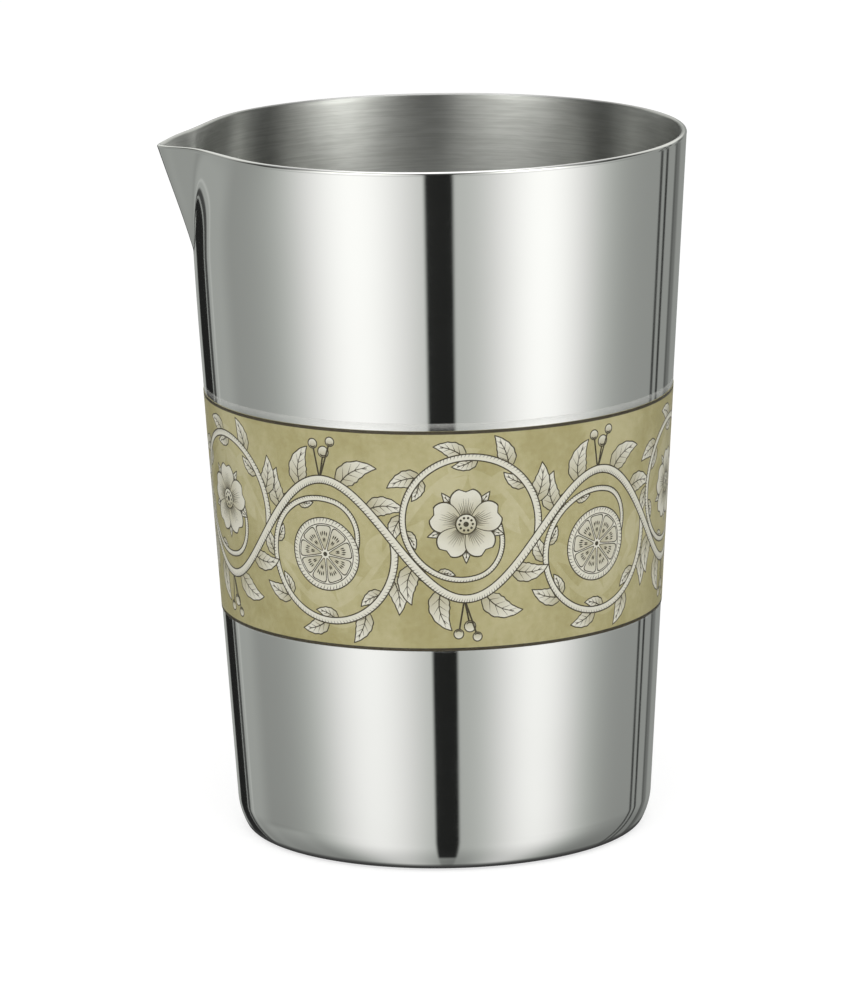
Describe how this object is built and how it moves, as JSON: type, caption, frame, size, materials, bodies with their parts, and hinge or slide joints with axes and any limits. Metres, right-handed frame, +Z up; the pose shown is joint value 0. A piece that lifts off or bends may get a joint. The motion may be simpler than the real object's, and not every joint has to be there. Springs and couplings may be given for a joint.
{
  "type": "cocktail mixing cup",
  "caption": "Tapered double-walled steel cup for stirring drinks, with a pouring spout pinched out of its rolled rim and a printed band under clear film round its middle.",
  "frame": {"origin": "centre of the flat underside of the base cap, on the surface that the cup stands on", "axes": "+Z up along the cup's axis, -X towards the spout, the XZ plane is the mirror plane"},
  "size_m": [0.0978, 0.093, 0.1311],
  "materials": {
    "polished_steel": "mirror-polished stainless steel",
    "satin_steel": "satin stainless steel, turned marks round the axis",
    "base_steel": "satin stainless steel",
    "printed_khaki": "khaki printed film with a dark line along both edges",
    "clear_film": "clear satin film over the print"
  },
  "bodies": {
    "root": {"outer_shell": "polished_steel", "inner_liner": "satin_steel", "base_cap": "base_steel", "printed_strip": "printed_khaki", "clear_film": "clear_film"}
  },
  "joints": []
}
